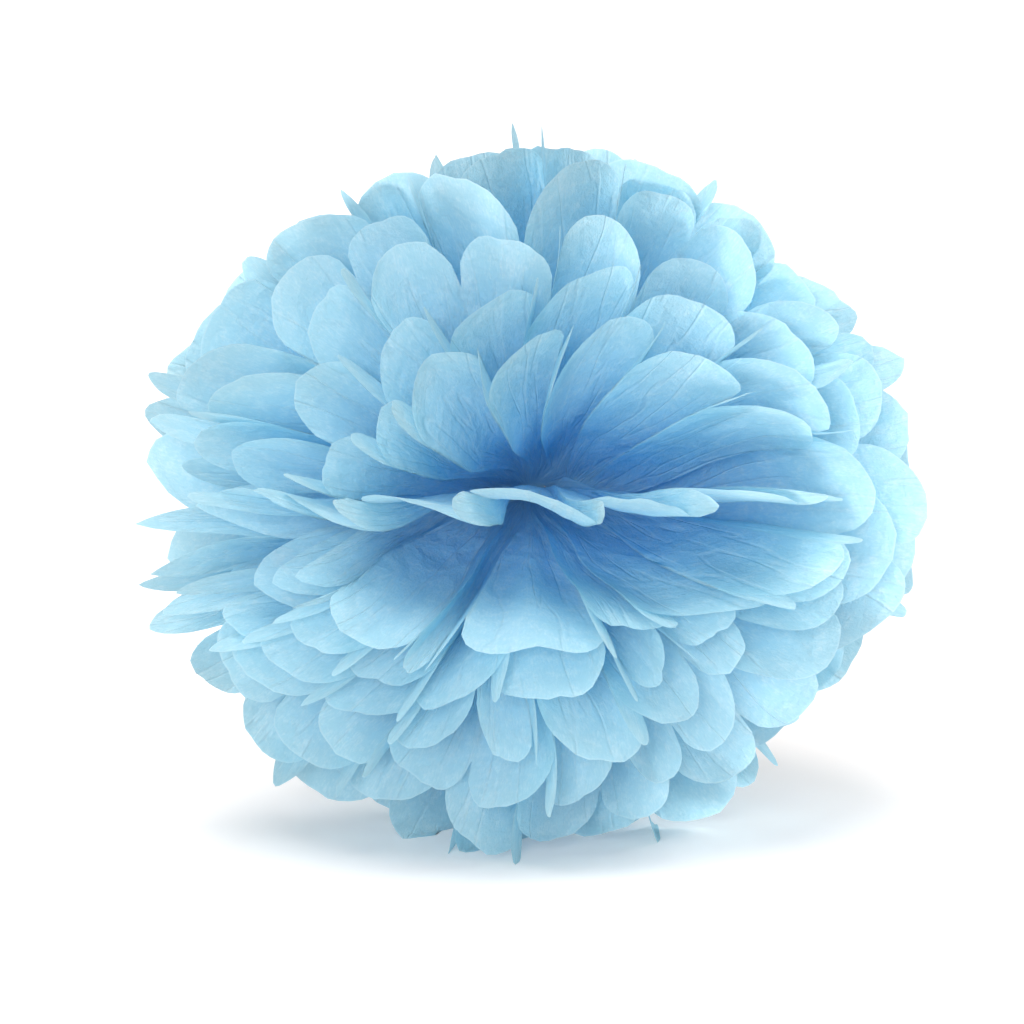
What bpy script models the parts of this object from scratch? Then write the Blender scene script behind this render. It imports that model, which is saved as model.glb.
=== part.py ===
"""Tissue paper pom pom: twelve pleated sheets tied round the waist and pulled open into a ball.

Each sheet is one piece of tissue, folded like a concertina, cut round at both ends, bunched
at the tie and fanned out above and below it. Six sheets are pulled to the front and six to
the back. The front of the ball faces -Y, +Z is up and the ball stands on Z = 0.
"""

import math
import random

import bmesh
import bpy
import numpy as np
from mathutils import Vector

# Size of the ball, in metres, from the tie to the tip of a petal that points that way.
REACH_SIDE = 0.125
REACH_UP = 0.112
REACH_DOWN = 0.120
REACH_DEPTH = 0.108
# 2 makes the ball an ellipsoid, and less makes it leaner between its sides.
ROUNDNESS = 1.8
# How much the lowest petals give where the ball stands on them.
SAG = 0.010

# The paper.
PAPER = 0.00025
SHEET_GAP = 0.0003
LOBE_DEPTH = 0.015
LOBE_ROUND = 2.2

# The bunched waist, where every sheet is a flat band beside its neighbours.
WAIST_WIDTH = 0.009
WAIST_ROOM = 0.001
PLAIN_RADIUS = 0.020
OPEN_SHARE = 0.62

# The wire tie.
WIRE = 0.0009
WIRE_BEND = 0.0009
TWIST_LENGTH = 0.008
TWIST_TURNS = 1.5
TWIST_GAP = 0.00015
TWIST_STEPS = 10
CORNER_STEPS = 3

# How the pleats open, in degrees or as shares of the room between two sheets.
PLAY_SHARE = 0.42
BOW_SHARE = 0.4
# A panel this wide has begun to bow, and one that is wider by as much again bows fully.
BOW_FROM = 7.0
TUCK = 5.0
BACK_WOBBLE = 2.0
BACK_SEED = 5

# How long a petal is, as a share of the reach where it points: each one differs a little, and
# a panel that is narrower than this many degrees stands on edge and sticks out as a blade.
LEAST_PETAL_SHARE = 0.955
MOST_PETAL_SHARE = 1.015
BLADE_DEGREES = 8
BLADE_SHARE = 1.05
PETAL_SEED = 11
# The petals at the left of the ball lie folded together: they are a little shorter than the
# blades between them, and their ends are longer cuts that come to a point.
LEFT = 183
LEFT_SPREAD = 26
LEFT_SHARE = 0.07
POINT_DEPTH = 0.033
POINT_ROUND = 1.15

# The upper half of the first and the last sheet is pulled right down into a shelf, which hides
# the tie. Its folds turn in its own plane, and its plane tilts up this much at its right, its
# middle and its left, with this much room for its pleats.
SHELF_TILTS = (6.5, 8.5, 3.5)
SHELF_TURNS = (0, 90, 180)
SHELF_PLAY = 3.0

# The front six sheets, from the heart outwards. The leans say how far a sheet is pulled away
# from the line of sight, at five places an eighth of a turn apart: from the right over the
# top, and from the left under the ball. The folds are the azimuths of its pleats, in the
# same order. A fold that steps back tucks a panel behind the petal before it. The first
# fold is pulled outwards (1) or towards the heart (-1), and the rest take turns. Where one
# sheet's two halves meet at the side is not where the next one's do, so no gap shows through.
FRONT_SHEETS = (
    {
        "first_fold": -1,
        "upper_leans": (48, 12, 8, 12, 40),
        "upper_folds": (28, 41, 39, 60, 58, 80, 79, 102, 100, 123, 121, 138, 136, 151, 148),
        "lower_leans": (50, 27, 13, 18, 57),
        "lower_folds": (183, 196, 193, 222, 219, 232, 230, 308, 305, 330, 327, 345, 342, 357, 356),
    },
    {
        "first_fold": 1,
        "upper_leans": (62, 45, 30, 31, 46),
        "upper_folds": (13, 36, 33, 60, 57, 80, 78, 104, 102, 138, 134, 151, 149, 168, 166),
        "lower_leans": (54, 37, 24, 30, 62),
        "lower_folds": (184, 198, 196, 214, 212, 236, 234, 258, 256, 305, 303, 324, 322, 340, 356),
    },
    {
        "first_fold": 1,
        "upper_leans": (67, 54, 43, 43, 57),
        "upper_folds": (-5, 18, 15, 42, 40, 68, 67, 89, 88, 113, 112, 140, 138, 158, 174),
        "lower_leans": (59, 47, 37, 42, 67),
        "lower_folds": (183, 202, 200, 220, 218, 239, 237, 253, 270, 272, 298, 296, 318, 334, 350),
    },
    {
        "first_fold": -1,
        "upper_leans": (73, 65, 56, 56, 67),
        "upper_folds": (6, 27, 24, 46, 66, 86, 85, 105, 126, 125, 145, 163, 160, 172, 186),
        "lower_leans": (67, 58, 51, 55, 73),
        "lower_folds": (190, 197, 205, 203, 221, 239, 237, 256, 275, 273, 289, 305, 323, 343, 364),
    },
    {
        "first_fold": 1,
        "upper_leans": (80, 75, 70, 70, 75),
        "upper_folds": (-7, 10, 27, 43, 59, 75, 73, 93, 111, 109, 127, 145, 163, 168, 176),
        "lower_leans": (75, 69, 66, 68, 80),
        "lower_folds": (179, 186, 193, 200, 218, 236, 234, 252, 270, 268, 284, 300, 317, 334, 351),
    },
    {
        "first_fold": -1,
        "upper_leans": (86, 85, 84, 84, 84),
        "upper_folds": (5, 18, 31, 45, 59, 73, 88, 86, 104, 122, 120, 140, 158, 165, 185),
        "lower_leans": (83, 82, 82, 83, 86),
        "lower_folds": (189, 195, 202, 216, 230, 228, 244, 259, 257, 275, 292, 290, 309, 336, 364),
    },
)
LEAN_STEP = 45

# Places across a panel where its surface is cut into faces.
AT_TIP = (0.0, 0.18, 0.5, 0.82, 1.0)
AT_OPEN = (0.0, 0.5, 1.0)

TISSUE_BLUE = (0.60, 0.82, 0.92, 1.0)
WIRE_GREY = (0.62, 0.63, 0.65, 1.0)

SHEETS = 2 * len(FRONT_SHEETS)
PANELS = len(FRONT_SHEETS[0]["upper_folds"]) - 1
SHEET_PITCH = PAPER + SHEET_GAP
BAND_HALF = WIRE / 2 + WAIST_ROOM
TIE = Vector((0.0, 0.0, REACH_DOWN - SAG))


def between(a, b, share):
    """The value that lies this share of the way from a to b."""
    return a + (b - a) * share


def turned_folds(folds, half, wobble):
    """The folds of a front sheet, turned to the back and each pulled a little differently."""
    ends = 540 if half == "lower" else 180
    turned = [ends - azimuth for azimuth in reversed(folds)]
    inner = [azimuth + wobble.uniform(-BACK_WOBBLE, BACK_WOBBLE) for azimuth in turned[1:-1]]
    return (turned[0], *inner, turned[-1])


def all_sheets():
    """The twelve sheets from front to back, each as an upper and a lower fan.

    A fan is (leans, folds, first fold). The back is the front turned round the upright axis.
    """
    wobble = random.Random(BACK_SEED)
    front = [
        {
            half: (sheet[half + "_leans"], sheet[half + "_folds"], sheet["first_fold"])
            for half in ("upper", "lower")
        }
        for sheet in FRONT_SHEETS
    ]
    back = []
    for sheet in reversed(front):
        turned = {}
        for half, (leans, folds, first_fold) in sheet.items():
            turned_leans = tuple(180 - lean for lean in reversed(leans))
            turned[half] = (turned_leans, turned_folds(folds, half, wobble), -first_fold)
        back.append(turned)
    return front + back


def eased(share):
    """A share from 0 to 1 that starts and stops softly."""
    share = min(max(share, 0.0), 1.0)
    return share * share * (3 - 2 * share)


def lean_at(leans, azimuth):
    """The polar angle this far round a fan, eased between the leans on the two sides."""
    place = min(max(azimuth, 0), 4 * LEAN_STEP) / LEAN_STEP
    before = min(int(place), len(leans) - 2)
    return between(leans[before], leans[before + 1], eased(place - before))


def direction(azimuth, polar):
    """The unit vector at an azimuth in the upright plane and a polar angle off the front."""
    a, p = math.radians(azimuth), math.radians(polar)
    return Vector((math.sin(p) * math.cos(a), -math.cos(p), math.sin(p) * math.sin(a)))


def reach(way):
    """How far from the tie a petal tip lies when it points this way."""
    upright = REACH_UP if way.z > 0 else REACH_DOWN
    shares = (way.x / REACH_SIDE, way.y / REACH_DEPTH, way.z / upright)
    return sum(abs(share) ** ROUNDNESS for share in shares) ** (-1 / ROUNDNESS)


def tucked(polar):
    """The polar angle halfway along a petal, which curls outwards from there to its tip."""
    return polar - TUCK * math.sin(2 * math.radians(polar))


def on_floor(point):
    """A tip that would pass through the surface bends and lies along it, away from the middle."""
    lowest = PAPER / 2
    if point.z >= lowest:
        return point
    sunk = lowest - point.z
    outward = -1 if point.y < 0 else 1
    return Vector((point.x, point.y + outward * sunk, lowest))


class Fan:
    """One half of one sheet, above or below the tie."""

    def __init__(self, sheets, index, half):
        self.index = index
        self.leans, self.folds, self.first_fold = sheets[index][half]
        self.start = 0 if half == "upper" else 180
        self.up = 1 if half == "upper" else -1
        self.side = 1 if index < SHEETS // 2 else -1
        self.shelf = half == "upper" and index in (0, SHEETS - 1)
        self.beside = [
            sheets[i][half][0] for i in (index - 1, index + 1) if 0 <= i < len(sheets)
        ]
        self.lengths = self.panel_lengths()

    def panel_lengths(self):
        """How long each panel is, as a share of the reach where it points."""
        varied = random.Random(PETAL_SEED + 2 * self.index + self.up)
        lengths = []
        for panel, (first, last) in enumerate(zip(self.folds, self.folds[1:])):
            short = LEFT_SHARE * self.at_left(panel)
            petal = varied.uniform(LEAST_PETAL_SHARE, MOST_PETAL_SHARE) * (1 - short)
            lengths.append(BLADE_SHARE if abs(last - first) < BLADE_DEGREES else petal)
        return lengths

    def at_left(self, panel):
        """How much a panel is one of those at the left of the ball, as a share."""
        middle = (self.folds[panel] + self.folds[panel + 1]) / 2
        return 0.0 if self.shelf else eased(1 - abs(middle - LEFT) / LEFT_SPREAD)

    def lean(self, azimuth):
        """The polar angle of this fan's middle surface at an azimuth."""
        return lean_at(self.leans, azimuth - self.start)

    def aim(self, turn, shift):
        """(azimuth, polar) of paper this far round the fan, shifted by a share of its play."""
        if not self.shelf:
            return turn, self.lean(turn) + shift * self.play(turn)
        tilt = float(np.interp(turn, SHELF_TURNS, SHELF_TILTS[:: self.side]))
        tilt = math.radians(tilt + self.side * shift * SHELF_PLAY)
        round_plane = math.radians(turn)
        rise = math.sin(round_plane) * math.sin(tilt)
        azimuth = math.degrees(math.atan2(rise, math.cos(round_plane)))
        polar = math.degrees(math.acos(self.side * math.sin(round_plane) * math.cos(tilt)))
        return azimuth, polar

    def play(self, azimuth):
        """How far a fold may stray from its sheet's own lean without meeting the next sheet."""
        here = self.lean(azimuth)
        rooms = [abs(lean_at(other, azimuth - self.start) - here) for other in self.beside]
        return PLAY_SHARE * min(rooms)

    def way(self, panel, across):
        """(azimuth, polar) of the open sheet at a place across one of its panels."""
        first, last = self.folds[panel], self.folds[panel + 1]
        zigzag = between(1, -1, across) * (-1) ** panel * self.first_fold
        wide = min(1.0, max(0.0, abs(last - first) / BOW_FROM - 1))
        bow = BOW_SHARE * wide * 4 * across * (1 - across)
        return self.aim(between(first, last, across), zigzag + bow * self.side)

    def length(self, panel, across, way):
        """How far a place across a panel reaches that way, carried smoothly over the folds."""
        middles = [place + 0.5 for place in range(PANELS)]
        return reach(way) * float(np.interp(panel + across, middles, self.lengths))

    def root(self):
        """The middle of the bend where this fan leaves the band that runs through the tie."""
        covered = min(self.index, SHEETS - 1 - self.index)
        deep = (self.index - (SHEETS - 1) / 2) * SHEET_PITCH
        return TIE + Vector((0.0, deep, self.up * (BAND_HALF + covered * SHEET_PITCH)))

    def waist(self, fold):
        """A fold's place in the bunched waist. Folds run from the right of the upper fan."""
        across = between(1, -1, fold / PANELS) * self.up
        return self.root() + Vector((across * WAIST_WIDTH / 2, 0.0, 0.0))

    def plain(self, fold):
        """A fold's place near the tie, where the pleats still lie evenly spread."""
        turn = between(self.folds[0], self.folds[-1], fold / PANELS)
        return self.root() + direction(*self.aim(turn, 0.0)) * PLAIN_RADIUS

    def opened(self, panel, across):
        """A place on the ring where the pleats have opened to their full spread."""
        azimuth, polar = self.way(panel, across)
        way = direction(azimuth, tucked(polar))
        return TIE + way * self.length(panel, across, way) * OPEN_SHARE

    def tip(self, panel, across):
        """A place on the round end of a panel."""
        way = direction(*self.way(panel, across))
        deep = between(LOBE_DEPTH, POINT_DEPTH, self.at_left(panel))
        bent = between(LOBE_ROUND, POINT_ROUND, self.at_left(panel))
        cut = deep * (1 - (1 - abs(2 * across - 1) ** bent) ** (1 / bent))
        return on_floor(TIE + way * (self.length(panel, across, way) - cut))


def places_across(stops):
    """Every (panel, place across it) along a fan, each fold counted once."""
    places = [(panel, at) for panel in range(PANELS) for at in stops[:-1]]
    return [*places, (PANELS - 1, stops[-1])]


def fan_rows(fan):
    """The rows of points of one fan, from the waist to the cut ends."""
    waist = [fan.waist(fold) for fold in range(PANELS + 1)]
    plain = [fan.plain(fold) for fold in range(PANELS + 1)]
    opened = [fan.opened(*place) for place in places_across(AT_OPEN)]
    tips = [fan.tip(*place) for place in places_across(AT_TIP)]
    return waist, plain, opened, tips


def strip_faces(near, far):
    """Triangles between two rows of points, of which far has one or more steps to each of near."""
    ratio = (len(far) - 1) // (len(near) - 1)
    faces = []
    for step in range(len(near) - 1):
        a, b = near[step], near[step + 1]
        ends = far[step * ratio : (step + 1) * ratio + 1]
        middle = len(ends) // 2
        for k in range(ratio):
            faces.append((a if k < middle else b, ends[k], ends[k + 1]))
        faces.append((a, ends[middle], b))
    return faces


def add_fan(mesh, rows):
    """Puts one fan's points and faces in the mesh and gives its waist points back."""
    verts = [[mesh.verts.new(point) for point in row] for row in rows]
    for near, far in zip(verts, verts[1:]):
        for face in strip_faces(near, far):
            mesh.faces.new(face)
    return verts[0]


def make_sheet(sheets, index, material):
    """One sheet of tissue: both of its fans and the band through the tie, with thickness."""
    mesh = bmesh.new()
    upper = add_fan(mesh, fan_rows(Fan(sheets, index, "upper")))
    lower = add_fan(mesh, fan_rows(Fan(sheets, index, "lower")))
    for face in strip_faces(upper, list(reversed(lower))):
        mesh.faces.new(face)
    bmesh.ops.recalc_face_normals(mesh, faces=mesh.faces)
    name = f"tissue_sheet_{index + 1:02d}"
    data = bpy.data.meshes.new(name)
    mesh.to_mesh(data)
    mesh.free()
    data.materials.append(material)
    sheet = bpy.data.objects.new(name, data)
    bpy.context.scene.collection.objects.link(sheet)
    thickness = sheet.modifiers.new("paper", "SOLIDIFY")
    thickness.thickness = PAPER
    thickness.offset = 0.0
    return sheet


def bundle_half_depth():
    """Half of the depth of the twelve sheets where they lie together at the tie."""
    return (SHEETS - 1) / 2 * SHEET_PITCH + PAPER / 2


def twist_point(along, strand):
    """A point on one strand of the twisted tail, this share of the way from root to end."""
    turn = along * TWIST_TURNS * 2 * math.pi
    radius = (WIRE + TWIST_GAP) / 2
    deep = bundle_half_depth() + SHEET_GAP + WIRE / 2 + WIRE + along * TWIST_LENGTH
    return Vector(
        (strand * radius * math.cos(turn), deep, strand * radius * math.sin(turn))
    )


def loop_points():
    """The wire's middle line round the bundle, from one side of the twist to the other."""
    half_wide = WAIST_WIDTH / 2 + SHEET_GAP + WIRE / 2
    half_deep = bundle_half_depth() + SHEET_GAP + WIRE / 2
    points = []
    for turn, (x, y) in enumerate(((1, 1), (1, -1), (-1, -1), (-1, 1))):
        bend = Vector((x * (half_wide - WIRE_BEND), y * (half_deep - WIRE_BEND), 0.0))
        for step in range(CORNER_STEPS + 1):
            angle = math.radians(90 * (1 - turn - step / CORNER_STEPS))
            points.append(bend + WIRE_BEND * Vector((math.cos(angle), math.sin(angle), 0.0)))
    return points


def make_tie(material):
    """The wire tie: one length of wire round the waist, its ends twisted together behind."""
    along = [step / TWIST_STEPS for step in range(TWIST_STEPS + 1)]
    right = [twist_point(share, 1) for share in reversed(along)]
    left = [twist_point(share, -1) for share in along]
    path = right + loop_points() + left
    curve = bpy.data.curves.new("wire_tie", "CURVE")
    curve.dimensions = "3D"
    spline = curve.splines.new("POLY")
    spline.points.add(len(path) - 1)
    for point, place in zip(spline.points, path):
        point.co = (*(TIE + place), 1.0)
    curve.bevel_depth = WIRE / 2
    curve.bevel_resolution = 1
    curve.use_fill_caps = True
    curve.materials.append(material)
    tie = bpy.data.objects.new("wire_tie", curve)
    bpy.context.scene.collection.objects.link(tie)
    return tie


def plain_material(name, colour, roughness, metallic):
    """A Principled material with one colour."""
    material = bpy.data.materials.new(name)
    material.use_nodes = True
    shader = material.node_tree.nodes["Principled BSDF"]
    shader.inputs["Base Color"].default_value = colour
    shader.inputs["Roughness"].default_value = roughness
    shader.inputs["Metallic"].default_value = metallic
    return material


def main():
    for old in list(bpy.data.objects):
        bpy.data.objects.remove(old)
    tissue = plain_material("blue_tissue", TISSUE_BLUE, 0.9, 0.0)
    wire = plain_material("bare_wire", WIRE_GREY, 0.35, 1.0)
    sheets = all_sheets()
    for index in range(SHEETS):
        make_sheet(sheets, index, tissue)
    make_tie(wire)


main()
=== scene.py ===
"""Looks of the tissue paper pom pom: fine sheets of dyed tissue, the wire tie and a pale studio.

Lengths are metres, angles are degrees, and the ball stands on Z = 0 with its front towards -Y.
"""

import math
import random

import bpy
import numpy as np
from mathutils import Matrix, Vector, noise


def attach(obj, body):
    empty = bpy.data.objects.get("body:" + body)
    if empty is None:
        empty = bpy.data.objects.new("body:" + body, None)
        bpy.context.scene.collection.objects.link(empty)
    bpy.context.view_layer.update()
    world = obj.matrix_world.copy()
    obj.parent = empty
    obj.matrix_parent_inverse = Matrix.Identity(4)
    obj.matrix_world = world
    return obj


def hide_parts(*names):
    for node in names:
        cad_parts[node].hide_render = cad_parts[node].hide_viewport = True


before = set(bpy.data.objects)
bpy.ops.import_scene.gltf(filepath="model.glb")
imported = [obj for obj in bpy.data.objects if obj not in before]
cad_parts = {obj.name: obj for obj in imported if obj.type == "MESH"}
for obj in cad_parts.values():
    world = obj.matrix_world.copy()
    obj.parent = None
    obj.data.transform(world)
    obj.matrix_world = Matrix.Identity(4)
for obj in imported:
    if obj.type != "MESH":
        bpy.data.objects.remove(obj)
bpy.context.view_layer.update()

bl_info = {
    "name": "Tissue paper pom pom",
    "version": (1, 0, 0),
    "blender": (4, 5, 0),
    "location": "View3D > Sidebar > Pom pom",
    "description": "Builds a ball of open tissue sheets, its wire tie and a pale studio",
    "category": "Add Mesh",
}

BODY = "root"

# The ball, from the tie to the tip of a petal that points that way, and where the tie is.
REACH_SIDE = 0.125
REACH_UP = 0.112
REACH_DOWN = 0.120
REACH_DEPTH = 0.108
# 2 makes the ball an ellipsoid, and less makes it leaner between its sides.
ROUNDNESS = 1.8
SAG = 0.010
TIE = np.array((0.0, 0.0, REACH_DOWN - SAG))

# The paper as it lies at the waist, and the round cut of a petal's end.
PAPER = 0.00025
SHEET_PITCH = 0.00055
LOBE_DEPTH = 0.015
LOBE_ROUND = 2.2
WAIST_WIDTH = 0.009
WAIST_ROOM = 0.001
WIRE = 0.0009
BAND_HALF = WIRE / 2 + WAIST_ROOM
# The pleats leave the tie evenly spread, and have opened this share of the way to their tips.
EVEN_RADIUS = 0.014
OPEN_SHARE = 0.62
# The end pleats squeeze this many degrees past their place there, so no slit shows by the tie.
SQUEEZE = 44
# This far from the tie the petals no longer show how wide the waist is.
WAIST_RADIUS = 0.02

# How the pleats open, in degrees or as shares of the room between two sheets.
PLAY_SHARE = 0.42
MOST_PLAY = 1.09
BOW_SHARE = 0.4
# A panel this wide has begun to bow, and one that is wider by as much again bows fully.
BOW_FROM = 7.0
# The two middle sheets fold this much further, into the room between the halves of the ball.
MIDDLE_PLAY = 1.3
# The sharp crease along a petal lies somewhere between these shares of its width.
CREASE_SHARES = (0.25, 0.75)
# Petal ends curl from this share of their length on, by up to these shares of the whole curl.
CURL_FROM = 0.6
CURL_SHARES = (-0.5, 1.0)
CURL_SEED = 100
# Soft dents of the paper, across, along and from sheet to sheet, in mm.
DENTS_MM = (9, 24, 1)
# Waves of a cut edge to one panel.
RIM_WAVES = 7.1
# How long a petal is, as a share of the reach where it points: each one differs a little, and
# a panel that is narrower than this many degrees stands on edge and sticks out as a blade.
LEAST_PETAL_SHARE = 0.955
MOST_PETAL_SHARE = 1.015
BLADE_DEGREES = 8
BLADE_SHARE = 1.05
# The petals at the left of the ball lie folded together: they are a little shorter than the
# blades between them, and their ends are longer cuts that come to a point. LEFT is the azimuth
# of the middle one, and they lie up to LEFT_SPREAD degrees from it.
LEFT = 183
LEFT_SPREAD = 26
LEFT_SHARE = 0.07
POINT_DEPTH = 0.033
POINT_ROUND = 1.15
# Halfway along, a petal bulges up to this many degrees towards the front or the back.
TUCK = 5.0
# The whole ball is pulled about in waves this long, by three fields of noise that lie apart.
SWAY_WAVE = 0.045
SWAY_WAYS = (0.5, 17.3, 41.9)
# It is pulled about more from front to back, so no line of sight runs between its halves.
SWAY_SHARES = (1.0, 1.9, 1.0)
# The sway grows this much faster than the way from the tie to the petal tips.
SWAY_GROWTH = 1.6
# The folds at the back stray from those at the front by up to this many degrees.
BACK_WOBBLE = 2.0
BACK_SEED = 5
PETAL_SEED = 11

# The flat sheet: 460 mm of paper in fourteen panels. In the patterns the sheets lie this far
# apart, so that no two of them look alike.
PANEL_MM = 460 / 14
SHEET_APART_MM = 100.0

# The upper half of the first and the last sheet is pulled right down into a shelf, which hides
# the tie. Its folds turn in its own plane, and its plane tilts up this much at its right, its
# middle and its left, with this much room for its pleats.
SHELF_TURNS = (0, 90, 180)
SHELF_TILTS = (6.5, 8.5, 3.5)
SHELF_PLAY = 3.0

# The wire clears the paper by TIE_GAP. Its ends are twisted together behind.
TIE_GAP = 0.0003
TWIST_RADIUS = 0.000525
TWIST_LENGTH = 0.008
TWIST_TURNS = 1.5
TWIST_STEPS = 40
CORNER_STEPS = 6

# Where each light stands, as it shines from there to the tie, and how many degrees wide it is.
KEY_LIGHT = (-0.22, -1.0, 0.32), 26
TOP_LIGHT = (-0.15, -0.6, 1.4), 32
BACK_LIGHT = (1.0, 0.9, 0.55), 30

# The floor reaches this far. The picture is FRAME_PIXELS wide, and the camera aims this many
# of them to the left of the tie and below it.
FLOOR_HALF = 6.0
FRAME_PIXELS = 1024
AIM_LEFT = 18
AIM_BELOW = 22
FILM_MM = 36

# The front six sheets, from the heart outwards. The leans say how far a sheet is pulled away
# from the line of sight, at five places an eighth of a turn apart: from the right over the
# top, and from the left under the ball. The folds are the azimuths of its pleats, in the
# same order. A fold that steps back tucks a panel behind the petal before it. The first
# fold is pulled outwards (1) or towards the heart (-1), and the rest take turns.
FRONT_SHEETS = (
    {
        "first_fold": -1,
        "upper_leans": (48, 12, 8, 12, 40),
        "upper_folds": (28, 41, 39, 60, 58, 80, 79, 102, 100, 123, 121, 138, 136, 151, 148),
        "lower_leans": (50, 27, 13, 18, 57),
        "lower_folds": (183, 196, 193, 222, 219, 232, 230, 308, 305, 330, 327, 345, 342, 357, 356),
    },
    {
        "first_fold": 1,
        "upper_leans": (62, 45, 30, 31, 46),
        "upper_folds": (13, 36, 33, 60, 57, 80, 78, 104, 102, 138, 134, 151, 149, 168, 166),
        "lower_leans": (54, 37, 24, 30, 62),
        "lower_folds": (184, 198, 196, 214, 212, 236, 234, 258, 256, 305, 303, 324, 322, 340, 356),
    },
    {
        "first_fold": 1,
        "upper_leans": (67, 54, 43, 43, 57),
        "upper_folds": (-5, 18, 15, 42, 40, 68, 67, 89, 88, 113, 112, 140, 138, 158, 174),
        "lower_leans": (59, 47, 37, 42, 67),
        "lower_folds": (183, 202, 200, 220, 218, 239, 237, 253, 270, 272, 298, 296, 318, 334, 350),
    },
    {
        "first_fold": -1,
        "upper_leans": (73, 65, 56, 56, 67),
        "upper_folds": (6, 27, 24, 46, 66, 86, 85, 105, 126, 125, 145, 163, 160, 172, 186),
        "lower_leans": (67, 58, 51, 55, 73),
        "lower_folds": (190, 197, 205, 203, 221, 239, 237, 256, 275, 273, 289, 305, 323, 343, 364),
    },
    {
        "first_fold": 1,
        "upper_leans": (80, 75, 70, 70, 75),
        "upper_folds": (-7, 10, 27, 43, 59, 75, 73, 93, 111, 109, 127, 145, 163, 168, 176),
        "lower_leans": (75, 69, 66, 68, 80),
        "lower_folds": (179, 186, 193, 200, 218, 236, 234, 252, 270, 268, 284, 300, 317, 334, 351),
    },
    {
        "first_fold": -1,
        "upper_leans": (86, 85, 84, 84, 84),
        "upper_folds": (5, 18, 31, 45, 59, 73, 88, 86, 104, 122, 120, 140, 158, 165, 185),
        "lower_leans": (83, 82, 82, 83, 86),
        "lower_folds": (189, 195, 202, 216, 230, 228, 244, 259, 257, 275, 292, 290, 309, 336, 364),
    },
)
LEAN_STEP = 45
SHEETS = 2 * len(FRONT_SHEETS)
PANELS = len(FRONT_SHEETS[0]["upper_folds"]) - 1
SHEET_NODES = [f"tissue_sheet_{index + 1:02d}" for index in range(SHEETS)]
TIE_NODE = "wire_tie"


def linear(hex_colour):
    """An sRGB hex colour as the linear colour that shaders take."""
    channels = [int(hex_colour[i : i + 2], 16) / 255 for i in (1, 3, 5)]
    steps = [c / 12.92 if c <= 0.04045 else ((c + 0.055) / 1.055) ** 2.4 for c in channels]
    return (*steps, 1.0)


def between(a, b, share):
    """The value that lies this share of the way from a to b."""
    return a + (b - a) * share


def eased(share):
    """A share from 0 to 1 that starts and stops softly."""
    share = np.clip(share, 0.0, 1.0)
    return share * share * (3 - 2 * share)


def colour_setting(name, description, hex_colour):
    """A colour in a settings panel."""
    return bpy.props.FloatVectorProperty(
        name=name,
        description=description,
        subtype="COLOR",
        size=4,
        min=0.0,
        max=1.0,
        default=linear(hex_colour),
    )


def length_setting(name, description, default, least, most):
    """A length in a settings panel."""
    return bpy.props.FloatProperty(
        name=name,
        description=description,
        subtype="DISTANCE",
        unit="LENGTH",
        min=least,
        max=most,
        default=default,
    )


def share_setting(name, description, default, most=1.0):
    """A share of something in a settings panel."""
    return bpy.props.FloatProperty(
        name=name, description=description, subtype="FACTOR", min=0.0, max=most, default=default
    )


def strength_setting(name, description, default):
    """The strength of a light in a settings panel."""
    return bpy.props.FloatProperty(name=name, description=description, min=0.0, default=default)


class TissueSettings(bpy.types.PropertyGroup):
    """The twelve sheets of tissue."""

    paper_colour: colour_setting(
        "Paper colour", "Colour of the dyed tissue at its cut ends, one layer thick", "#B7DFEB"
    )
    # Painted shade: the colour that the tissue is painted away from its cut ends, where other
    # layers shade it.
    painted_layer_shade_colour: colour_setting(
        "Deep colour", "Colour of the tissue away from its cut ends, under other layers", "#A0DDF8"
    )
    # Pale colour of thin places and worn creases, also painted on the cut rims as a highlight.
    pale_and_painted_highlight_colour: colour_setting(
        "Pale colour", "Colour of cut rims and of places where the fibres lie thin", "#E2F4F8"
    )
    light_through: share_setting(
        "Light through", "Share of the light that one layer lets through", 0.60, most=0.9
    )
    crumple: length_setting(
        "Crumple", "Height of the soft dents that hands leave in the petals", 0.0007, 0.0, 0.003
    )
    panel_crease: share_setting(
        "Panel crease", "Height of the sharp crease along each petal, as a share of its play", 0.45
    )
    ragged: length_setting(
        "Ragged rim", "How far the scissors strayed along the round ends", 0.0008, 0.0, 0.002
    )
    sway: length_setting(
        "Sway", "How far the ball is pulled out of its even shape from place to place", 0.006,
        0.0, 0.010,
    )
    tip_curl: share_setting(
        "Tip curl", "How far petal ends curl, as a share of the room beside their sheet", 0.7
    )
    rows: bpy.props.IntProperty(
        name="Rows",
        description="Rows of faces from the tie to the petal tips",
        min=8,
        max=60,
        default=36,
    )
    steps: bpy.props.IntProperty(
        name="Steps",
        description="Faces across one panel of a pleated sheet",
        min=4,
        max=24,
        default=14,
    )


class TieSettings(bpy.types.PropertyGroup):
    """The wire tie round the waist."""

    wire: length_setting("Wire thickness", "Thickness of the wire", WIRE, 0.0004, 0.0012)
    colour: colour_setting("Wire colour", "Colour of the bare wire", "#B4B7BC")


class StageSettings(bpy.types.PropertyGroup):
    """The floor, the lights and the camera."""

    elevation: bpy.props.FloatProperty(
        name="Camera elevation",
        description="How far above level the camera looks down from",
        subtype="ANGLE",
        unit="ROTATION",
        default=math.radians(10),
    )
    distance: length_setting("Camera distance", "From the tie to the camera", 2.2, 0.5, 10.0)
    view_width: length_setting("View width", "Width of the view at the tie", 0.3233, 0.1, 2.0)
    floor_colour: colour_setting("Floor colour", "Colour of the pale floor", "#F6F1EE")
    floor_glow: strength_setting(
        "Floor glow", "Light that the thin paper floor lets up, which softens the shadow", 0.17
    )
    sky_strength: strength_setting("Room light", "Strength of the even light all round", 0.48)
    key_strength: strength_setting(
        "Key light", "Strength of the large soft light in front of the ball", 2.15
    )
    top_strength: strength_setting(
        "Top light", "Strength of the soft light above the ball, which draws its shadow", 1.8
    )
    back_strength: strength_setting(
        "Back light", "Strength of the light behind the right side, which shines through", 2.3
    )


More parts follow.
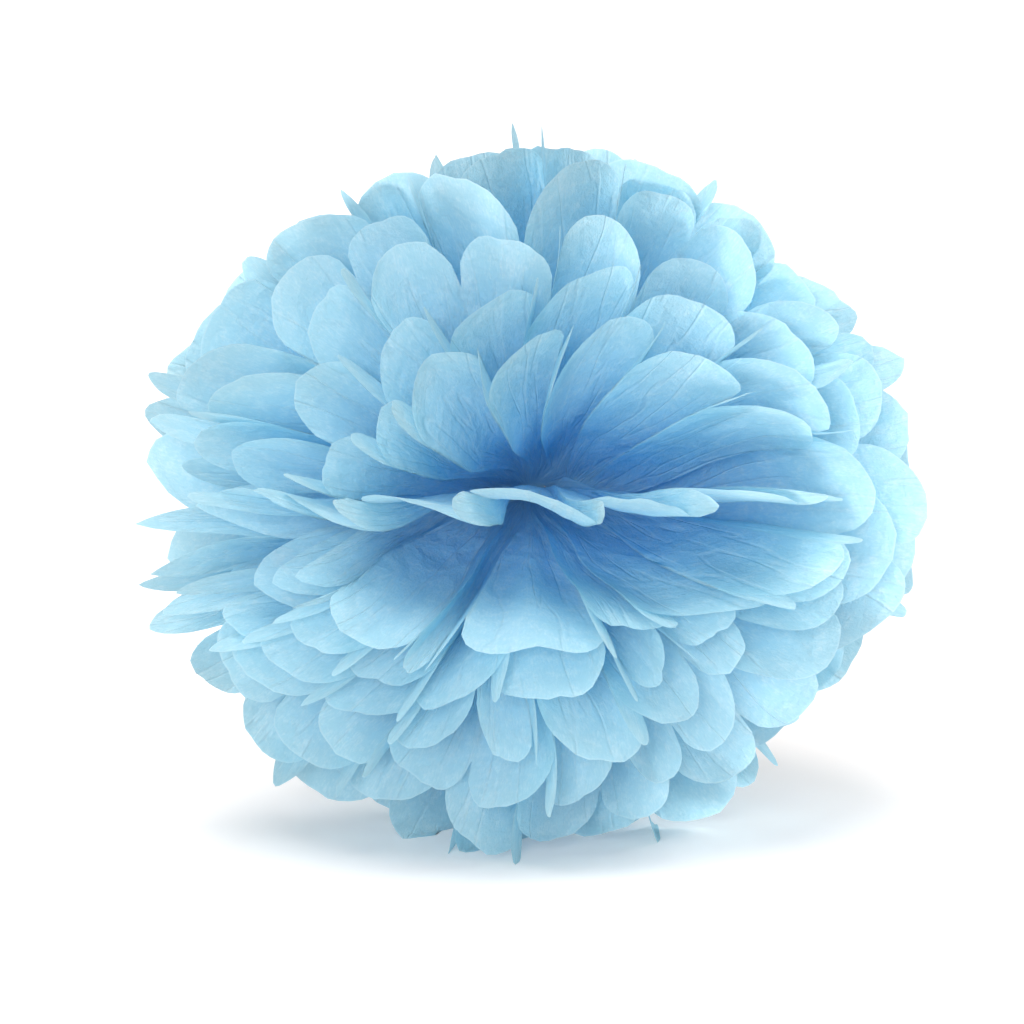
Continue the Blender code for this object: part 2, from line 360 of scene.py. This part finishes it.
def turned_folds(folds, half, wobble):
    """The folds of a front sheet, turned to the back and each pulled a little differently."""
    ends = 540 if half == "lower" else 180
    turned = [ends - azimuth for azimuth in reversed(folds)]
    inner = [azimuth + wobble.uniform(-BACK_WOBBLE, BACK_WOBBLE) for azimuth in turned[1:-1]]
    return (turned[0], *inner, turned[-1])


def all_sheets():
    """The twelve sheets from front to back, each as an upper and a lower fan.

    A fan is (leans, folds, first fold). The back is the front turned round the upright axis.
    """
    wobble = random.Random(BACK_SEED)
    front = [
        {
            half: (sheet[half + "_leans"], sheet[half + "_folds"], sheet["first_fold"])
            for half in ("upper", "lower")
        }
        for sheet in FRONT_SHEETS
    ]
    back = []
    for sheet in reversed(front):
        turned = {}
        for half, (leans, folds, first_fold) in sheet.items():
            turned_leans = tuple(180 - lean for lean in reversed(leans))
            turned[half] = (turned_leans, turned_folds(folds, half, wobble), -first_fold)
        back.append(turned)
    return front + back


def lean_at(leans, azimuth):
    """The polar angle this far round a fan, eased between the leans on the two sides."""
    leans = np.asarray(leans, float)
    place = np.clip(azimuth, 0, 4 * LEAN_STEP) / LEAN_STEP
    before = np.minimum(place.astype(int), len(leans) - 2)
    return between(leans[before], leans[before + 1], eased(place - before))


def direction(azimuth, polar):
    """Unit vectors at azimuths in the upright plane and polar angles off the front."""
    a, p = np.radians(azimuth), np.radians(polar)
    return np.stack((np.sin(p) * np.cos(a), -np.cos(p), np.sin(p) * np.sin(a)), axis=-1)


def reach(way):
    """How far from the tie a petal tip lies when it points this way."""
    upright = np.where(way[..., 2] > 0, REACH_UP, REACH_DOWN)
    x, y, z = way[..., 0] / REACH_SIDE, way[..., 1] / REACH_DEPTH, way[..., 2] / upright
    return sum(np.abs(share) ** ROUNDNESS for share in (x, y, z)) ** (-1 / ROUNDNESS)


def noise_field(places):
    """Smooth noise between about -1 and 1 at each (n, 3) place, one wave to a unit."""
    return np.array([noise.noise(place) for place in places.tolist()])


def swayed(points, height):
    """The points moved by one smooth field, which all the sheets share."""
    moved = np.column_stack([noise_field(points / SWAY_WAVE + way) for way in SWAY_WAYS])
    far = np.linalg.norm(points - TIE, axis=1, keepdims=True) / REACH_SIDE
    return points + moved * SWAY_SHARES * height * eased(far * SWAY_GROWTH)


def on_floor(points):
    """Tips that would pass through the floor bend and lie along it, away from the middle."""
    sunk = np.maximum(PAPER / 2 - points[:, 2], 0.0)
    outward = np.where(points[:, 1] < 0, -1.0, 1.0)
    return np.column_stack(
        (points[:, 0], points[:, 1] + outward * sunk, np.maximum(points[:, 2], PAPER / 2))
    )


def over_petals(values, places):
    """One value for each panel, carried smoothly over the folds between them."""
    return np.interp(places, np.arange(PANELS) + 0.5, values)


class Fan:
    """One half of one sheet, above or below the tie, as a grid of points."""

    def __init__(self, sheets, index, half, settings):
        self.index = index
        self.leans, folds, self.first_fold = sheets[index][half]
        self.folds = np.asarray(folds, float)
        self.start = 0 if half == "upper" else 180
        self.up = 1 if half == "upper" else -1
        self.side = 1 if index < SHEETS // 2 else -1
        self.shelf = half == "upper" and index in (0, SHEETS - 1)
        self.beside = [
            sheets[i][half][0] for i in (index - 1, index + 1) if 0 <= i < len(sheets)
        ]
        self.settings = settings
        self.seed = PETAL_SEED + 2 * index + (half == "upper")
        # The columns stand closer together at a fold than between two folds.
        step = np.arange(settings.steps) / settings.steps
        step = between(step, (1 - np.cos(np.pi * step)) / 2, 0.5)
        self.place = np.append((np.arange(PANELS)[:, None] + step).ravel(), PANELS)
        self.panel = np.minimum(self.place.astype(int), PANELS - 1)
        self.across = self.place - self.panel
        self.opened = between(self.folds[self.panel], self.folds[self.panel + 1], self.across)

    def lean(self, azimuth):
        """The polar angle of this fan's middle surface at an azimuth."""
        return lean_at(self.leans, azimuth - self.start)

    def aim(self, turn, shift):
        """(azimuth, polar) of paper this far round the fan, shifted by a share of its play."""
        if not self.shelf:
            return turn, self.lean(turn) + shift * self.play(turn)
        round_plane = np.radians(turn)
        tilt = np.interp(turn, SHELF_TURNS, SHELF_TILTS[:: self.side])
        tilt = np.radians(tilt + self.side * shift * SHELF_PLAY)
        rise = np.sin(round_plane) * np.sin(tilt)
        azimuth = np.degrees(np.arctan2(rise, np.cos(round_plane)))
        polar = np.degrees(np.arccos(self.side * np.sin(round_plane) * np.cos(tilt)))
        return azimuth, polar

    def play(self, azimuth):
        """How far a fold may stray from its sheet's own lean, by the room beside the sheet."""
        if self.shelf:
            return np.full(np.shape(azimuth), SHELF_PLAY)
        here = self.lean(azimuth)
        rooms = [np.abs(lean_at(other, azimuth - self.start) - here) for other in self.beside]
        middle = MIDDLE_PLAY if self.index in (SHEETS // 2 - 1, SHEETS // 2) else 1.0
        return PLAY_SHARE * middle * np.minimum(rooms[0], rooms[-1])

    def pull(self):
        """How far each column is folded and bowed off its sheet, as a share of its play."""
        wide = np.abs(np.diff(self.folds))[self.panel]
        zigzag = (1 - 2 * self.across) * (-1.0) ** self.panel * self.first_fold
        wide = np.clip(wide / BOW_FROM - 1, 0, 1)
        bow = BOW_SHARE * wide * 4 * self.across * (1 - self.across)
        drawn = np.random.default_rng(self.seed)
        middle = drawn.uniform(*CREASE_SHARES, PANELS)[self.panel]
        height = drawn.uniform(-1.0, 1.0, PANELS)[self.panel] * self.settings.panel_crease
        slope = np.minimum(self.across / middle, (1 - self.across) / (1 - middle))
        return zigzag + bow * self.side + height * wide * slope

    def lengths(self):
        """How long each panel is, as a share of the reach where it points."""
        widths = np.abs(np.diff(self.folds))
        short = LEFT_SHARE * self.at_left()
        varied = random.Random(PETAL_SEED + 2 * self.index + self.up)
        varied = np.array([varied.uniform(LEAST_PETAL_SHARE, MOST_PETAL_SHARE) for _ in widths])
        return np.where(widths < BLADE_DEGREES, BLADE_SHARE, varied * (1 - short))

    def at_left(self):
        """How much each panel is one of those at the left of the ball, as shares."""
        middles = (self.folds[1:] + self.folds[:-1]) / 2
        return eased(1 - np.abs(middles - LEFT) / LEFT_SPREAD) * (not self.shelf)

    def root(self):
        """The middle of the bend where this fan leaves the band that runs through the tie."""
        covered = min(self.index, SHEETS - 1 - self.index)
        deep = (self.index - (SHEETS - 1) / 2) * SHEET_PITCH
        return TIE + np.array((0.0, deep, self.up * (BAND_HALF + covered * SHEET_PITCH)))

    def opening(self, full, radius):
        """How far round the fan each point lies, and how far its pleats have opened there."""
        squeeze = 0 if self.shelf else SQUEEZE
        even = between(self.folds[0] - squeeze, self.folds[-1] + squeeze, self.place / PANELS)
        outer = np.maximum(radius, EVEN_RADIUS)
        grow = (1 - EVEN_RADIUS / outer) / (1 - EVEN_RADIUS / (OPEN_SHARE * full))
        grow = np.clip(grow, 0, 1)
        return between(even, self.opened, grow), grow

    def cut(self):
        """How much the round or pointed cut takes off each column."""
        left = self.at_left()[self.panel]
        bent = between(LOBE_ROUND, POINT_ROUND, left)
        side = np.abs(2 * self.across - 1) ** bent
        return between(LOBE_DEPTH, POINT_DEPTH, left) * (1 - (1 - side) ** (1 / bent))

    def rim(self):
        """How far the scissors strayed at each column."""
        still = np.zeros_like(self.place)
        waves = np.column_stack((self.place * RIM_WAVES, still, still + self.seed))
        return noise_field(waves) * self.settings.ragged

    def on_sheet(self, radius):
        """Where each point lies on the flat sheet, in mm."""
        across = np.broadcast_to(self.place * PANEL_MM, radius.shape)
        sheet = np.full(radius.shape, SHEET_APART_MM * self.index)
        return np.stack((across, radius * 1000 * self.up, sheet), axis=-1)

    def dents(self, flat):
        """Soft dents of handled paper, as shares of their height."""
        places = flat.reshape(-1, 3) / DENTS_MM
        dents = 0.5 - 2 * np.abs(noise_field(places))
        dents += 0.5 * noise_field(places * 2)
        return dents.reshape(flat.shape[:-1])

    def grid(self):
        """(points, places on the flat sheet in mm, distances from the cut end in mm)."""
        pull = self.pull()
        tip = direction(*self.aim(self.opened, pull))
        full = reach(tip) * over_petals(self.lengths(), self.place)
        length = full - self.cut() + self.rim()
        radius = np.linspace(0, 1, self.settings.rows + 1)[:, None] * length
        turn, grow = self.opening(full, radius)
        flat = self.on_sheet(radius)

        along = radius / full
        room = np.radians(self.play(turn)) * np.maximum(radius, EVEN_RADIUS)
        drawn = np.random.default_rng(self.seed + CURL_SEED).uniform(*CURL_SHARES, PANELS)
        curl = over_petals(drawn, self.place) * self.settings.tip_curl
        shift = pull * grow + self.side * curl * eased((along - CURL_FROM) / (1 - CURL_FROM))
        shift = shift + self.dents(flat) * self.settings.crumple / room * eased(along * 2)
        shift = np.clip(shift, -MOST_PLAY, MOST_PLAY)
        azimuth, polar = self.aim(turn, shift)
        climb = np.clip((radius - WAIST_RADIUS) / (full - WAIST_RADIUS), 0, 1)
        polar = polar - TUCK * np.sin(2 * np.radians(polar)) * 4 * climb * (1 - climb)

        leave = np.clip((radius - WAIST_RADIUS) / (OPEN_SHARE * full - WAIST_RADIUS), 0, 1)
        centre = between(self.root(), TIE, leave[..., None])
        points = centre + direction(azimuth, polar) * radius[..., None]
        band = between(1, -1, self.place / PANELS) * self.up * WAIST_WIDTH / 2
        points[..., 0] += band * np.clip(1 - radius / WAIST_RADIUS, 0, 1)
        return points, flat, (length - radius) * 1000


def grid_faces(rows, columns, first):
    """Quads of a grid of points that starts at this number."""
    corner = first + np.arange(rows - 1)[:, None] * columns + np.arange(columns - 1)
    corner = corner.ravel()
    return np.column_stack((corner, corner + 1, corner + columns + 1, corner + columns))


def make_sheet(sheets, index, settings, material):
    """One open sheet of tissue: both of its fans and the band that joins them in the tie."""
    grids = [Fan(sheets, index, half, settings).grid() for half in ("upper", "lower")]
    rows, columns = grids[0][0].shape[:2]
    points = np.concatenate([grid[0].reshape(-1, 3) for grid in grids])
    flat = np.concatenate([grid[1].reshape(-1, 3) for grid in grids])
    edge = np.concatenate([grid[2].ravel() for grid in grids])
    points = on_floor(swayed(points, settings.sway))
    upper = grid_faces(rows, columns, 0)
    lower = grid_faces(rows, columns, rows * columns)
    above = np.arange(columns)
    below = rows * columns + above[::-1]
    band = np.column_stack((above[1:], above[:-1], below[:-1], below[1:]))
    faces = np.concatenate((upper, lower, band))
    name = f"open_sheet_{index + 1:02d}"
    mesh = bpy.data.meshes.new(name)
    mesh.from_pydata(points.tolist(), [], faces.tolist())
    mesh.attributes.new("flat_place", "FLOAT_VECTOR", "POINT").data.foreach_set(
        "vector", flat.ravel()
    )
    mesh.attributes.new("from_cut", "FLOAT", "POINT").data.foreach_set("value", edge)
    mesh.shade_smooth()
    mesh.materials.append(material)
    sheet = bpy.data.objects.new(name, mesh)
    bpy.context.scene.collection.objects.link(sheet)
    return sheet


def add_node(tree, kind, settings=(), values=(), links=()):
    """Adds a node with its settings, its values and its links, and gives it back."""
    node = tree.nodes.new(kind)
    for name, value in dict(settings).items():
        setattr(node, name, value)
    for name, value in dict(values).items():
        node.inputs[name].default_value = value
    for name, source in dict(links).items():
        tree.links.new(source, node.inputs[name])
    return node


def new_material(name):
    """An empty node material and its tree."""
    material = bpy.data.materials.new(name)
    material.use_nodes = True
    material.node_tree.nodes.clear()
    return material, material.node_tree


def tissue_material(settings):
    """Tissue paper of wood pulp, dyed in the vat and dried smooth.

    It is matt, and one layer is so thin that it shows cloudy fibres and lets over half of the
    light through. Dye makes the light deeper at each layer, so the heart of the ball is darkest.
    Its colour is also painted deeper away from the cut ends, as painted shade of the layers over
    it, and its cut rims are painted paler as a highlight.
    """
    material, tree = new_material("dyed_tissue_paper")
    flat = add_node(tree, "ShaderNodeAttribute", {"attribute_name": "flat_place"})
    edge = add_node(tree, "ShaderNodeAttribute", {"attribute_name": "from_cut"})
    # Cloudy formation of the pulp, about 5 mm from one thin place to the next.
    cloud = add_node(
        tree, "ShaderNodeTexNoise", {}, {"Scale": 1 / 5, "Detail": 5, "Roughness": 0.65},
        {"Vector": flat.outputs["Vector"]},
    )
    # Fibres, 0.15 mm wide in life and drawn 0.6 mm wide so that they show, along the sheet.
    stretched = add_node(
        tree, "ShaderNodeMapping", {}, {"Scale": (1 / 0.6, 1 / 1.8, 1)},
        {"Vector": flat.outputs["Vector"]},
    )
    fibre = add_node(
        tree, "ShaderNodeTexNoise", {}, {"Scale": 1, "Detail": 2, "Roughness": 0.6},
        {"Vector": stretched.outputs["Vector"]},
    )
    thin = add_node(
        tree, "ShaderNodeMix", {"data_type": "FLOAT"}, {"Factor": 0.45},
        {"A": cloud.outputs["Fac"], "B": fibre.outputs["Fac"]},
    )
    # The sharp creases of the bunched waist run out along the petals, in waves of 12 by 80 mm.
    combed = add_node(
        tree, "ShaderNodeMapping", {}, {"Scale": (1 / 12, 1 / 80, 1)},
        {"Vector": flat.outputs["Vector"]},
    )
    crease = add_node(
        tree, "ShaderNodeTexNoise", {}, {"Scale": 1, "Detail": 2.5, "Roughness": 0.5},
        {"Vector": combed.outputs["Vector"]},
    )
    level = add_node(
        tree, "ShaderNodeMath", {"operation": "SUBTRACT"}, {1: 0.5}, {0: crease.outputs["Fac"]}
    )
    beside = add_node(
        tree, "ShaderNodeMath", {"operation": "ABSOLUTE"}, {}, {0: level.outputs["Value"]}
    )
    creased = add_node(
        tree, "ShaderNodeMapRange", {"interpolation_type": "SMOOTHSTEP"},
        {"From Min": 0.002, "From Max": 0.03, "To Min": 1, "To Max": 0},
        {"Value": beside.outputs["Value"]},
    )
    # Handling leaves facets about 15 mm wide, which rise from the soft bends where they meet.
    # The clouds bend their straight edges by up to 9 mm.
    strayed = add_node(
        tree, "ShaderNodeVectorMath", {"operation": "MULTIPLY_ADD"}, {1: (9, 9, 9)},
        {0: cloud.outputs["Color"], 2: flat.outputs["Vector"]},
    )
    crinkle = add_node(
        tree, "ShaderNodeTexVoronoi", {"feature": "DISTANCE_TO_EDGE"}, {"Scale": 1 / 15},
        {"Vector": strayed.outputs["Vector"]},
    )
    bent = add_node(
        tree, "ShaderNodeMath", {"operation": "MULTIPLY"}, {1: 2.2},
        {0: crinkle.outputs["Distance"]},
    )
    # A crease stands up from the facets.
    folded = add_node(
        tree, "ShaderNodeMath", {"operation": "MULTIPLY_ADD"}, {1: 0.35},
        {0: creased.outputs["Result"], 2: bent.outputs["Value"]},
    )
    # The thin places of the pulp look paler.
    pale = add_node(
        tree, "ShaderNodeMapRange", {"interpolation_type": "SMOOTHSTEP"},
        {"From Min": 0.42, "From Max": 0.75, "To Min": 0, "To Max": 0.6},
        {"Value": thin.outputs["Result"]},
    )
    # Painted highlight: a cut rim, 0.5 mm wide, is painted paler where it catches the light.
    rim = add_node(
        tree, "ShaderNodeMapRange", {},
        {"From Min": 0.15, "From Max": 0.7, "To Min": 0.4, "To Max": 0},
        {"Value": edge.outputs["Fac"]},
    )
    # Dye has rubbed off along the creases.
    worn = add_node(
        tree, "ShaderNodeMath", {"operation": "MULTIPLY_ADD"}, {1: 0.14},
        {0: creased.outputs["Result"], 2: pale.outputs["Result"]},
    )
    # The paler of the worn and thin places and the painted highlight on the rim.
    pale_wear_and_painted_highlight = add_node(
        tree, "ShaderNodeMath", {"operation": "MAXIMUM", "use_clamp": True}, {},
        {0: worn.outputs["Value"], 1: rim.outputs["Result"]},
    )
    # Painted shade of the layers that lie over a petal: it is palest at its end, and 60 mm from
    # there it is painted fully deep, where the next layers lie against it.
    painted_layer_shade = add_node(
        tree, "ShaderNodeMapRange", {}, {"From Min": 3, "From Max": 60},
        {"Value": edge.outputs["Fac"]},
    )
    # The dye's own colour, mixed with the painted shade of the layers over it.
    dyed = add_node(
        tree, "ShaderNodeMix", {"data_type": "RGBA"},
        {6: settings.paper_colour, 7: settings.painted_layer_shade_colour},
        {"Factor": painted_layer_shade.outputs["Result"]},
    )
    colour = add_node(
        tree, "ShaderNodeMix", {"data_type": "RGBA"}, {7: settings.pale_and_painted_highlight_colour},
        {"Factor": pale_wear_and_painted_highlight.outputs["Value"], 6: dyed.outputs[2]},
    )
    # The fibres make a fine grain on the folds.
    relief = add_node(
        tree, "ShaderNodeMath", {"operation": "MULTIPLY_ADD"}, {1: 0.12},
        {0: fibre.outputs["Fac"], 2: folded.outputs["Value"]},
    )
    bump = add_node(
        tree, "ShaderNodeBump", {}, {"Strength": 0.6, "Distance": 0.0015},
        {"Height": relief.outputs["Value"]},
    )
    front = add_node(
        tree, "ShaderNodeBsdfPrincipled", {}, {"Roughness": 0.85, "Specular IOR Level": 0.25},
        {"Base Color": colour.outputs[2], "Normal": bump.outputs["Normal"]},
    )
    through = add_node(
        tree, "ShaderNodeBsdfTranslucent", {}, {},
        {"Color": colour.outputs[2], "Normal": bump.outputs["Normal"]},
    )
    seen = add_node(
        tree, "ShaderNodeMixShader", {}, {0: settings.light_through},
        {1: front.outputs["BSDF"], 2: through.outputs["BSDF"]},
    )
    # Light that bounces between the petals meets the same paper, with its painted layer shade but
    # without its fine grain.
    plain_front = add_node(
        tree, "ShaderNodeBsdfDiffuse", {}, {}, {"Color": dyed.outputs[2]}
    )
    plain_through = add_node(
        tree, "ShaderNodeBsdfTranslucent", {}, {}, {"Color": dyed.outputs[2]}
    )
    between_petals = add_node(
        tree, "ShaderNodeMixShader", {}, {0: settings.light_through},
        {1: plain_front.outputs["BSDF"], 2: plain_through.outputs["BSDF"]},
    )
    ray = add_node(tree, "ShaderNodeLightPath")
    paper = add_node(
        tree, "ShaderNodeMixShader", {}, {},
        {
            0: ray.outputs["Is Camera Ray"],
            1: between_petals.outputs["Shader"],
            2: seen.outputs["Shader"],
        },
    )
    add_node(tree, "ShaderNodeOutputMaterial", {}, {}, {"Surface": paper.outputs["Shader"]})
    return material


def wire_material(settings):
    """Bare steel wire, drawn through a die: fine scratches along it and a soft grey shine."""
    material, tree = new_material("drawn_steel_wire")
    place = add_node(tree, "ShaderNodeTexCoord")
    # Drawing marks about 0.1 mm apart.
    marks = add_node(
        tree, "ShaderNodeTexNoise", {}, {"Scale": 9000, "Detail": 2},
        {"Vector": place.outputs["Object"]},
    )
    rough = add_node(
        tree, "ShaderNodeMapRange", {}, {"To Min": 0.5, "To Max": 0.7},
        {"Value": marks.outputs["Fac"]},
    )
    bump = add_node(
        tree, "ShaderNodeBump", {}, {"Strength": 0.2, "Distance": 0.00005},
        {"Height": marks.outputs["Fac"]},
    )
    steel = add_node(
        tree, "ShaderNodeBsdfPrincipled", {},
        {"Base Color": settings.colour, "Metallic": 1.0},
        {"Roughness": rough.outputs["Result"], "Normal": bump.outputs["Normal"]},
    )
    add_node(tree, "ShaderNodeOutputMaterial", {}, {}, {"Surface": steel.outputs["BSDF"]})
    return material


def floor_material(settings):
    """Matt studio paper on a light table, whose glow keeps the shadow on it soft.

    The paper has the faint tooth of its surface.
    """
    material, tree = new_material("matt_studio_paper")
    place = add_node(tree, "ShaderNodeTexCoord")
    # Paper tooth, 0.8 mm.
    tooth = add_node(
        tree, "ShaderNodeTexNoise", {}, {"Scale": 1250, "Detail": 2},
        {"Vector": place.outputs["Object"]},
    )
    bump = add_node(
        tree, "ShaderNodeBump", {}, {"Strength": 0.05, "Distance": 0.0001},
        {"Height": tooth.outputs["Fac"]},
    )
    paper = add_node(
        tree, "ShaderNodeBsdfPrincipled", {},
        {
            "Base Color": settings.floor_colour,
            "Roughness": 1.0,
            "Specular IOR Level": 0.0,
            "Emission Color": settings.floor_colour,
            "Emission Strength": settings.floor_glow,
        },
        {"Normal": bump.outputs["Normal"]},
    )
    add_node(tree, "ShaderNodeOutputMaterial", {}, {}, {"Surface": paper.outputs["BSDF"]})
    return material


def tie_path():
    """The wire's middle line, from one end of the twisted tail round the waist to the other."""
    beside = TIE_GAP + WIRE / 2
    half_deep = (SHEETS - 1) / 2 * SHEET_PITCH + PAPER / 2 + beside
    half_wide = WAIST_WIDTH / 2 + beside
    tail = []
    for step in range(TWIST_STEPS + 1):
        along = step / TWIST_STEPS
        turn = along * TWIST_TURNS * 2 * math.pi
        out = half_deep + WIRE + along * TWIST_LENGTH
        tail.append((TWIST_RADIUS * math.cos(turn), out, TWIST_RADIUS * math.sin(turn)))
    # Each corner of the loop bends round as tightly as the wire is thick.
    loop = []
    for corner, (x, y) in enumerate(((1, 1), (1, -1), (-1, -1), (-1, 1))):
        for step in range(CORNER_STEPS + 1):
            angle = math.radians(90 * (1 - corner - step / CORNER_STEPS))
            x_at = x * (half_wide - WIRE) + WIRE * math.cos(angle)
            y_at = y * (half_deep - WIRE) + WIRE * math.sin(angle)
            loop.append((x_at, y_at, 0.0))
    other = [(-x, y, -z) for x, y, z in tail]
    return [Vector(TIE) + Vector(point) for point in [*reversed(tail), *loop, *other]]


class OBJECT_OT_open_sheets(bpy.types.Operator):
    """Opens the twelve pleated sheets into petals"""

    bl_idname = "object.open_sheets"
    bl_label = "Tissue sheets"

    def execute(self, context):
        settings = context.scene.pom_pom_tissue
        material = tissue_material(settings)
        sheets = all_sheets()
        for index, node in enumerate(SHEET_NODES):
            sheet = make_sheet(sheets, index, settings, material)
            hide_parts(node)
            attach(sheet, BODY)
        return {"FINISHED"}


class OBJECT_OT_wire_tie(bpy.types.Operator):
    """Winds the wire round the waist and twists its ends together"""

    bl_idname = "object.wire_tie"
    bl_label = "Wire tie"

    def execute(self, context):
        settings = context.scene.pom_pom_tie
        curve = bpy.data.curves.new("twisted_wire", "CURVE")
        curve.dimensions = "3D"
        curve.bevel_depth = settings.wire / 2
        curve.bevel_resolution = 5
        curve.use_fill_caps = True
        path = tie_path()
        spline = curve.splines.new("POLY")
        spline.points.add(len(path) - 1)
        for point, place in zip(spline.points, path):
            point.co = (*place, 1.0)
        spline.use_smooth = True
        curve.materials.append(wire_material(settings))
        tie = bpy.data.objects.new("twisted_wire", curve)
        context.scene.collection.objects.link(tie)
        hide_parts(TIE_NODE)
        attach(tie, BODY)
        return {"FINISHED"}


def soft_light(name, place, spread, strength):
    """A far soft light that shines from this place towards the tie, even all over the floor."""
    data = bpy.data.lights.new(name, "SUN")
    data.angle = math.radians(spread)
    data.energy = strength
    light = bpy.data.objects.new(name, data)
    place = Vector(place)
    light.rotation_euler = (Vector(TIE) - place).to_track_quat("-Z", "Y").to_euler()
    light.location = place
    bpy.context.scene.collection.objects.link(light)


class OBJECT_OT_pale_studio(bpy.types.Operator):
    """Sets the ball on a pale floor in soft light, with the camera in front of it"""

    bl_idname = "object.pale_studio"
    bl_label = "Pale studio"

    def execute(self, context):
        scene = context.scene
        settings = scene.pom_pom_stage
        mesh = bpy.data.meshes.new("studio_floor")
        corners = [
            (x * FLOOR_HALF, y * FLOOR_HALF, 0) for x, y in ((-1, -1), (1, -1), (1, 1), (-1, 1))
        ]
        mesh.from_pydata(corners, [], [(0, 1, 2, 3)])
        mesh.materials.append(floor_material(settings))
        floor = bpy.data.objects.new("studio_floor", mesh)
        scene.collection.objects.link(floor)

        soft_light("key_light", *KEY_LIGHT, settings.key_strength)
        soft_light("top_light", *TOP_LIGHT, settings.top_strength)
        soft_light("back_light", *BACK_LIGHT, settings.back_strength)

        world = bpy.data.worlds.new("white_room")
        world.use_nodes = True
        world.node_tree.nodes.clear()
        sky = add_node(
            world.node_tree, "ShaderNodeBackground", {},
            {"Color": linear("#FFFFFF"), "Strength": settings.sky_strength},
        )
        add_node(world.node_tree, "ShaderNodeOutputWorld", {}, {}, {"Surface": sky.outputs[0]})
        scene.world = world

        data = bpy.data.cameras.new("front_camera")
        data.sensor_width = FILM_MM
        data.lens = FILM_MM * settings.distance / settings.view_width
        data.clip_end = 20
        camera = bpy.data.objects.new("front_camera", data)
        back = Vector((0, -math.cos(settings.elevation), math.sin(settings.elevation)))
        up = Vector((0, math.sin(settings.elevation), math.cos(settings.elevation)))
        pixel = settings.view_width / FRAME_PIXELS
        aim = Vector(TIE) + Vector((-AIM_LEFT * pixel, 0, 0)) - AIM_BELOW * pixel * up
        camera.matrix_world = Matrix.LocRotScale(
            aim + back * settings.distance, (-back).to_track_quat("-Z", "Y"), None
        )
        scene.collection.objects.link(camera)
        scene.camera = camera
        scene.view_settings.view_transform = "Standard"
        return {"FINISHED"}


class VIEW3D_PT_pom_pom(bpy.types.Panel):
    """The pom pom's pieces and their settings"""

    bl_idname = "VIEW3D_PT_pom_pom"
    bl_label = "Pom pom"
    bl_space_type = "VIEW_3D"
    bl_region_type = "UI"
    bl_category = "Pom pom"

    def draw(self, context):
        for operator, settings in (
            (OBJECT_OT_open_sheets, context.scene.pom_pom_tissue),
            (OBJECT_OT_wire_tie, context.scene.pom_pom_tie),
            (OBJECT_OT_pale_studio, context.scene.pom_pom_stage),
        ):
            box = self.layout.box()
            box.operator(operator.bl_idname)
            for name in type(settings).__annotations__:
                box.prop(settings, name)


CLASSES = (
    TissueSettings,
    TieSettings,
    StageSettings,
    OBJECT_OT_open_sheets,
    OBJECT_OT_wire_tie,
    OBJECT_OT_pale_studio,
    VIEW3D_PT_pom_pom,
)


def register():
    for cls in CLASSES:
        bpy.utils.register_class(cls)
    bpy.types.Scene.pom_pom_tissue = bpy.props.PointerProperty(type=TissueSettings)
    bpy.types.Scene.pom_pom_tie = bpy.props.PointerProperty(type=TieSettings)
    bpy.types.Scene.pom_pom_stage = bpy.props.PointerProperty(type=StageSettings)


def unregister():
    del bpy.types.Scene.pom_pom_stage
    del bpy.types.Scene.pom_pom_tie
    del bpy.types.Scene.pom_pom_tissue
    for cls in reversed(CLASSES):
        bpy.utils.unregister_class(cls)


def main():
    register()
    bpy.ops.object.open_sheets()
    bpy.ops.object.wire_tie()
    bpy.ops.object.pale_studio()


if __name__ == "__main__":
    main()
